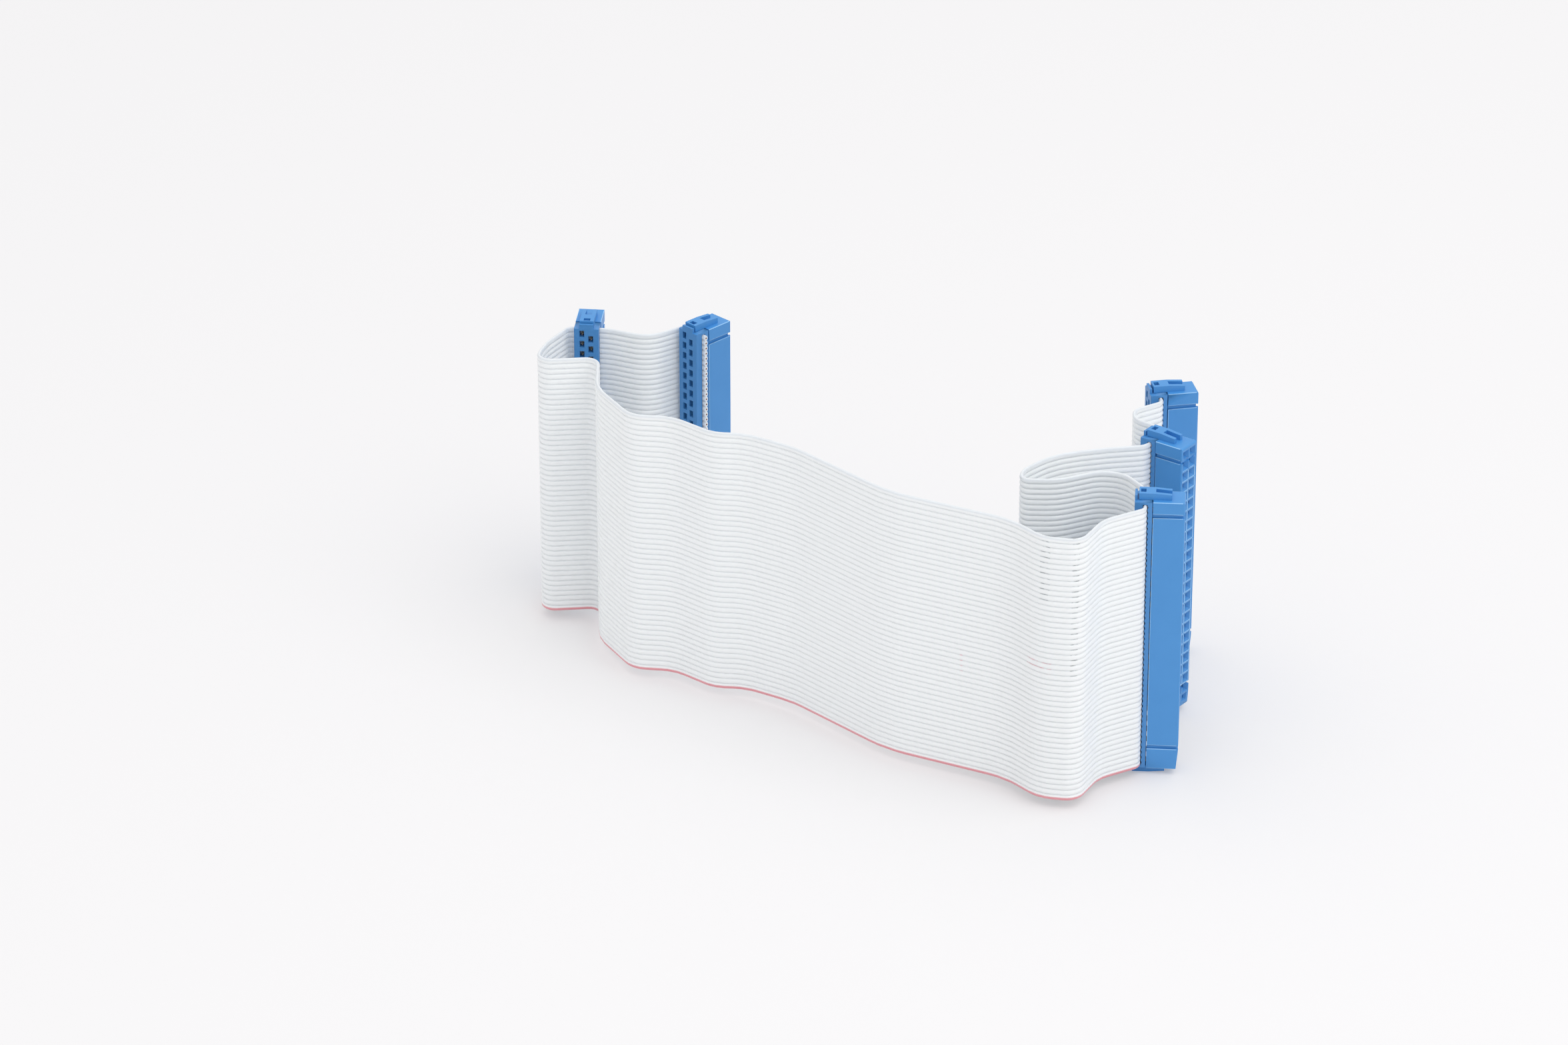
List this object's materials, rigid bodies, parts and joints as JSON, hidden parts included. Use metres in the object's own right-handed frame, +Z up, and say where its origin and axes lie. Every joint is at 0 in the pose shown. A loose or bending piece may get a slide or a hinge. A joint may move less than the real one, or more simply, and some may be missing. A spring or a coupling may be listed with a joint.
{
  "type": "ribbon cable",
  "caption": "Flat ribbon cable standing on edge, with insulation-displacement sockets pressed on at both ends and along its length.",
  "frame": {"origin": "middle of the plan of the whole cable, on the surface that it stands on", "axes": "+Z up across the ribbon, +X to the picture's right, +Y away from the camera"},
  "size_m": [0.1469, 0.1138, 0.0679],
  "materials": {
    "ribbon": "soft grey vinyl, semi-matte, the first conductor pink",
    "wires": "bare copper",
    "blue_body": "moulded polyester, fine matte",
    "blue_cover": "moulded polyester, fine matte",
    "contacts": "stamped spring bronze"
  },
  "bodies": {
    "root": {"ribbon": "ribbon", "wires": "wires", "socket_1_body": "blue_body", "socket_1_cover": "blue_cover", "socket_1_odd_contacts": "contacts", "socket_1_even_contacts": "contacts", "socket_2_body": "blue_body", "socket_2_cover": "blue_cover", "socket_2_odd_contacts": "contacts", "socket_2_even_contacts": "contacts", "socket_3_body": "blue_body", "socket_3_cover": "blue_cover", "socket_3_odd_contacts": "contacts", "socket_3_even_contacts": "contacts", "socket_4_body": "blue_body", "socket_4_cover": "blue_cover", "socket_4_odd_contacts": "contacts", "socket_4_even_contacts": "contacts", "socket_5_body": "blue_body", "socket_5_cover": "blue_cover", "socket_5_odd_contacts": "contacts", "socket_5_even_contacts": "contacts"}
  },
  "joints": []
}
